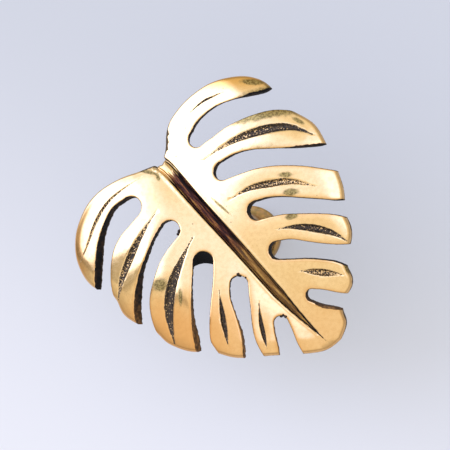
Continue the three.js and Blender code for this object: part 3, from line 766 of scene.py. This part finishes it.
# The walls near the third slot's end are drawn near black
slope_place = (-0.6 * MM, -8.3 * MM, 31.5 * MM)
from_slope = add("VectorMath", place, slope_place, operation="DISTANCE")
from_slope = add("MapRange", from_slope, 0.0045, 0.0035, **SOFT)
wall_colour = add("Mix", from_slope, wall_colour, linear("#050404"), **RGBA)

# All together: the rubbed notch, the grooves, the midrib and the walls over the polish
COVERS = (
    (add("Math", in_channel, 0.6, **TIMES), rubbed), (groove, groove_colour),
    (channel, rib_colour), (wall_share, wall_colour),
)
for share, cover in COVERS:
    colour = add("Mix", share, colour, cover, **RGBA)
dark = add("Math", add("Math", groove_dark, channel, **GREATER), wall_share, **GREATER)
roughness = add("MapRange", dark, 0, 1, 0.09, 0.5, **SOFT)
for dulled, rougher in ((wall_share, 0.3), (dark_reflection, 0.18), (mottle, 0.2)):
    roughness = add("Math", dulled, rougher, roughness, **TIMES_PLUS)
metal = add("Math", channel, 0.4, add("MapRange", dark, 0, 1, 1, 0.45, **SOFT), **TIMES_PLUS)

# The wheel's waves are some 5 mm long and 0.02 mm deep, and the dark parts are grainy
height = add("Math", add("TexNoise", place, 1 / (5 * MM), 1.0), 0.022, **TIMES)
ripples = add("TexNoise", place, 1 / (1.3 * MM), 1.0)
height = add("Math", ripples, 0.0025, height, **TIMES_PLUS)
height = add("Math", add("Math", sand, dark, **TIMES), 0.07, height, **TIMES_PLUS)
relief = add("Bump", 1.0, MM, None, height)
shader = add("BsdfPrincipled", colour, metal, roughness, None, None, relief)
add("OutputMaterial", shader)
leaf.data.materials.append(brass)
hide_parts("leaf_knob")
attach(leaf, "root")

# Casting crumbs: little lumps of brass that the mould left at the inner ends of three slots, cast
# in one with the leaf and black like its walls.
CRUMBS = [
    ((6.9, -12.9), 0.42), ((7.3, -13.2), 0.3), ((16.5, -21.9), 0.36), ((15.6, -21.9), 0.3),
    ((16.0, -21.6), 0.34), ((-5.9, -3.3), 0.42), ((-6.2, -3.9), 0.3), ((8.5, -13.6), 0.28),
]
CRUMB_DEPTH = 0.25
CRUMB_ROWS, CRUMB_AROUND = 12, 20
LUMPINESS = 0.22


def lump(centre, radius, seed):
    """A ball whose radius swells and shrinks with the sine of thrice its angle down from the pole
    times the cosine of twice its angle about it."""
    down = np.linspace(0, np.pi, CRUMB_ROWS + 2)[1:-1, None]
    about = np.arange(CRUMB_AROUND) * 2 * np.pi / CRUMB_AROUND
    size = radius * (1 + LUMPINESS * np.sin(3 * down + seed) * np.cos(2 * about + 2 * seed))
    ball = np.stack([
        size * np.sin(down) * np.cos(about), size * np.sin(down) * np.sin(about),
        size * np.cos(down),
    ], 2).reshape(-1, 3)
    poles = np.array([[0, 0, radius], [0, 0, -radius]])
    return np.vstack([ball, poles]) + centre


def ball_faces(rows, around):
    """The faces of a ball of rows of points with two poles after them."""
    ring = np.arange(around)
    nxt = np.roll(ring, -1)
    sides = np.vstack([
        np.stack([upper + ring, upper + around + ring, upper + around + nxt, upper + nxt], 1)
        for upper in range(0, (rows - 1) * around, around)
    ])
    count = rows * around
    low = count - around
    top = np.stack([ring, nxt, np.full(around, count)], 1)
    bottom = np.stack([low + nxt, low + ring, np.full(around, count + 1)], 1)
    return sides, np.vstack([top, bottom])


crumb_sides, crumb_ends = ball_faces(CRUMB_ROWS, CRUMB_AROUND)
crumb_points, crumb_faces, crumb_caps = [], [], []
for k, (crumb_at, radius) in enumerate(CRUMBS):
    crumb_centre = in_leaf(np.array([crumb_at], float), CRUMB_DEPTH)[0]
    crumb_points.append(lump(crumb_centre, radius, k))
    crumb_faces.append(crumb_sides + k * len(crumb_points[0]))
    crumb_caps.append(crumb_ends + k * len(crumb_points[0]))
crumbs = put_mesh(
    "casting_crumbs", np.vstack(crumb_points), np.vstack(crumb_faces), np.vstack(crumb_caps)
)
# Casting skin: a dull crust in black and brown spots, so that a crumb reads as a rough lump
scale_black, tree = material("blackened casting skin")
place = add("TexCoord").node.outputs["Object"]
crust = add("MapRange", add("TexNoise", place, 1 / (0.5 * MM), 2.0), 0.4, 0.62, **SOFT)
crust = add("Mix", crust, linear("#120d0a"), linear("#4a3520"), **RGBA)
add("OutputMaterial", add("BsdfPrincipled", crust, 0.45, 0.6))
crumbs.data.materials.append(scale_black)
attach(crumbs, "root")

# The post: brass, cast in one with the leaf, with a flat round foot and a blind screw hole. It
# stands in the leaf's shade, unpolished.
FOOT_RADIUS, FOOT_HEIGHT, FOOT_ROUND = 7, 2.6, 0.7
NECK_RADIUS, NECK_FILLET = 4.6, 1.7
FLARE_RADIUS, FLARE_HEIGHT = 5.8, 4
SCREW_RADIUS, SCREW_DEPTH, SCREW_POINT, SCREW_MOUTH = 1.65, 14, 1, 0.5
POST_AROUND = 96


def arc(centre, radius, start, end, steps=8):
    """Points on a circle between two angles in degrees: the centre plus the radius times the
    cosine and the sine."""
    turn = np.radians(np.linspace(start, end, steps))
    return np.stack([centre[0] + radius * np.cos(turn), centre[1] + radius * np.sin(turn)], 1)


def turned(profile, around):
    """A profile of radius and height carried round the Z axis, with both ends on it: x and y are
    the radius times the cosine and the sine of the turn."""
    turn = np.arange(around) * 2 * np.pi / around
    body = profile[1:-1]
    points = np.stack([
        np.outer(body[:, 0], np.cos(turn)), np.outer(body[:, 0], np.sin(turn)),
        np.repeat(body[:, 1:], around, axis=1),
    ], 2).reshape(-1, 3)
    poles = np.array([[0, 0, profile[0, 1]], [0, 0, profile[-1, 1]]])
    ring = np.arange(around)
    nxt = np.roll(ring, -1)
    count = len(points)
    last = count - around
    sides = np.vstack([
        np.stack([lower + ring, lower + nxt, lower + around + nxt, lower + around + ring], 1)
        for lower in range(0, last, around)
    ])
    start = np.stack([nxt, ring, np.full(around, count)], 1)
    end = np.stack([last + ring, last + nxt, np.full(around, count + 1)], 1)
    return np.vstack([points, poles]), sides, start, end


face_middle = float(face_height(0, 0))
leaf_back = face_middle - PLATE
post_top = leaf_back + PLATE / 2
bend = np.linspace(0, 1, 10)[:, None]
# The flare is a parabola from the neck, first straight up and then outward
flare = (
    (1 - bend) ** 2 * np.array([NECK_RADIUS, leaf_back - FLARE_HEIGHT])
    + 2 * bend * (1 - bend) * np.array([NECK_RADIUS, leaf_back - FLARE_HEIGHT / 3])
    + bend**2 * np.array([FLARE_RADIUS, leaf_back])
)
profile = np.vstack([
    [[0, SCREW_DEPTH + SCREW_POINT], [SCREW_RADIUS, SCREW_DEPTH], [SCREW_RADIUS, SCREW_MOUTH]],
    [[SCREW_RADIUS + SCREW_MOUTH, 0], [FOOT_RADIUS - FOOT_ROUND, 0]],
    arc((FOOT_RADIUS - FOOT_ROUND, FOOT_ROUND), FOOT_ROUND, -90, 0)[1:],
    arc((FOOT_RADIUS - FOOT_ROUND, FOOT_HEIGHT - FOOT_ROUND), FOOT_ROUND, 0, 90),
    arc((NECK_RADIUS + NECK_FILLET, FOOT_HEIGHT + NECK_FILLET), NECK_FILLET, 270, 180),
    flare,
    [[FLARE_RADIUS, post_top], [0, post_top]],
])
post = put_mesh("post", *turned(profile, POST_AROUND))
# Dull cast brass: golden and olive spots, and a soft broad highlight on a faintly grainy skin
dull_brass, tree = material("dull blackened cast brass")
place = add("TexCoord").node.outputs["Object"]
grime = add("MapRange", add("TexNoise", place, 1 / (1.2 * MM), 3.0), 0.3, 0.7, **SOFT)
grime = add("Mix", grime, linear("#c79a5e"), linear("#a08550"), **RGBA)
grain = add("Math", add("TexNoise", place, 1 / (0.4 * MM), 2.0), 0.03, **TIMES)
relief = add("Bump", 0.6, MM, None, grain)
add("OutputMaterial", add("BsdfPrincipled", grime, 0.9, 0.38, None, None, relief))
post.data.materials.append(dull_brass)
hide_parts("leaf_knob")
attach(post, "root")

# The floor: a plain sheet of pale grey paper that lies flat under the knob's foot and reaches far
# past the picture.
FLOOR_REACH = 4  # metres
floor_corners = np.array([(-1, -1, 0), (1, -1, 0), (1, 1, 0), (-1, 1, 0)]) * FLOOR_REACH
floor_mesh = bpy.data.meshes.new("floor")
floor_mesh.from_pydata(floor_corners.tolist(), [], [(0, 1, 2, 3)])
floor = bpy.data.objects.new("floor", floor_mesh)
bpy.context.scene.collection.objects.link(floor)
# Pale paper: matt and without grain at this size; painted shade makes it a little darker and bluer
# up the page. Half of what is seen is the light that falls on it, which shows the knob's shadow.
paper, tree = material("pale grey paper")
place = add("TexCoord").node.outputs["Object"]
across_page, along_page, _ = add("SeparateXYZ", place).node.outputs
# Painted shade: the paper darkens and turns bluer along this diagonal up the page
up_page = add("Math", across_page, 0.35, along_page, **TIMES_PLUS)
up_page = add("MapRange", up_page, -0.09, 0.05, **SOFT)
lit_shade = add("Mix", up_page, linear("#dedad3"), linear("#c1bfb9"), **RGBA)
shade = add("Mix", up_page, linear("#e6e9f4"), linear("#cdd3e2"), **RGBA)
lit = add("BsdfPrincipled", lit_shade, None, 0.9)
own = add("Emission", shade, 1.0)
ray = add("LightPath").node.outputs
seen = add("Math", ray["Is Camera Ray"], ray["Is Glossy Ray"], **GREATER)
seen = add("Math", seen, ray["Is Transmission Ray"], **GREATER)
add("OutputMaterial", add("MixShader", add("Math", seen, 0.5, **TIMES), lit, own))
floor_mesh.materials.append(paper)

# Light: a plain pale tent, brightest in a broad soft window high on the left, dimmer towards the
# table's near side and its horizon.
world = bpy.data.worlds.new("studio")
bpy.context.scene.world = world
world.use_nodes = True
tree = world.node_tree
tree.nodes.clear()
toward = add("TexCoord").node.outputs["Generated"]
way = add("SeparateXYZ", toward).node.outputs


def panel(direction, inner, outer):
    """A round part of the tent: full inside one angle from its middle, none past another. The
    cosine of the angle is the product of the two directions."""
    middle = Vector(direction).normalized()
    near = add("VectorMath", toward, middle, operation="DOT_PRODUCT")
    low, high = (float(np.cos(np.radians(angle))) for angle in (outer, inner))
    return add("MapRange", near, low, high, **SOFT)


def cut(glow, *steps):
    """A part of the tent cut off softly by steps, each from one value of a number to another."""
    for number, low, high in steps:
        glow = add("Math", glow, add("MapRange", number, low, high, **SOFT), **TIMES)
    return glow


# The window's lower edge is a line across the tent, and a dark gap lies under it
hem = add("VectorMath", toward, (0.08, 0.96, 0.27), operation="DOT_PRODUCT")
window = cut(panel((-0.76, 0.25, 0.62), 16, 33.5), (hem, 0.0, 0.04), (way[2], 0.3, 0.45))
window_side = cut(panel((-0.85, 0.45, 0.3), 16, 34), (way[1], 0.15, 0.35))
window = add("Math", window, window_side, **GREATER)
gap_under = cut(1.0, (hem, -0.09, -0.05), (hem, 0.04, 0.0), (way[0], -0.3, -0.42))
overhead = panel((0, 0, 1), 30, 80)
over_middle = cut(panel((-0.25, 0.02, 0.96), 14, 34), (way[1], -0.3, 0.1))
right_strip = cut(
    1.0, (way[0], 0.0, 0.25), (way[0], 0.55, 0.3), (way[1], -0.28, -0.1), (way[1], 0.6, 0.35),
    (way[2], 0.5, 0.7),
)
level = 0.62
for part, strength in ((overhead, 0.58), (over_middle, 0.4), (right_strip, 1.1), (window, 2.6)):
    level = add("Math", part, strength, level, **TIMES_PLUS)
level = add("Math", level, add("MapRange", gap_under, 0, 1, 1, 0.55, **SOFT), **TIMES)
# The brightest parts are bluish, like daylight
cool = add("MapRange", level, 1.05, 1.8, **SOFT)
tint = add("Mix", cool, linear("#fffaf2"), linear("#cbd6ff"), **RGBA)
strength = add("Math", level, add("MapRange", cool, 0, 1, 1, 1.35, **SOFT), **TIMES)
add("OutputWorld", add("Background", tint, strength))

# Camera: above and a little to the right, square to the middle of the leaf, which stands left of
# and above the middle of the picture.
PICTURE = 450  # pixels across, to which the next two belong
PIXELS_PER_MM = 4.7
LEAF_MIDDLE = (206.4, 215)
DISTANCE = 480
SENSOR = 36
back_way = Vector((0.30, -0.156, 0.94)).normalized()
right_way = Vector((0, 1, 0)).cross(back_way).normalized()
up_way = back_way.cross(right_way)
to_right, to_top = ((PICTURE / 2 - at) / PIXELS_PER_MM for at in LEAF_MIDDLE)
target = Vector((0, 0, face_middle)) + to_right * right_way - to_top * up_way
lens = bpy.data.cameras.new("camera")
lens.sensor_width = SENSOR
lens.lens = SENSOR * DISTANCE * PIXELS_PER_MM / PICTURE
lens.clip_start, lens.clip_end = 0.05, 20
camera = bpy.data.objects.new("camera", lens)
camera.location = (target + DISTANCE * back_way) * MM
camera.rotation_euler = Matrix((right_way, up_way, back_way)).transposed().to_euler()
bpy.context.scene.collection.objects.link(camera)
bpy.context.scene.camera = camera
bpy.context.scene.view_settings.view_transform = "Standard"
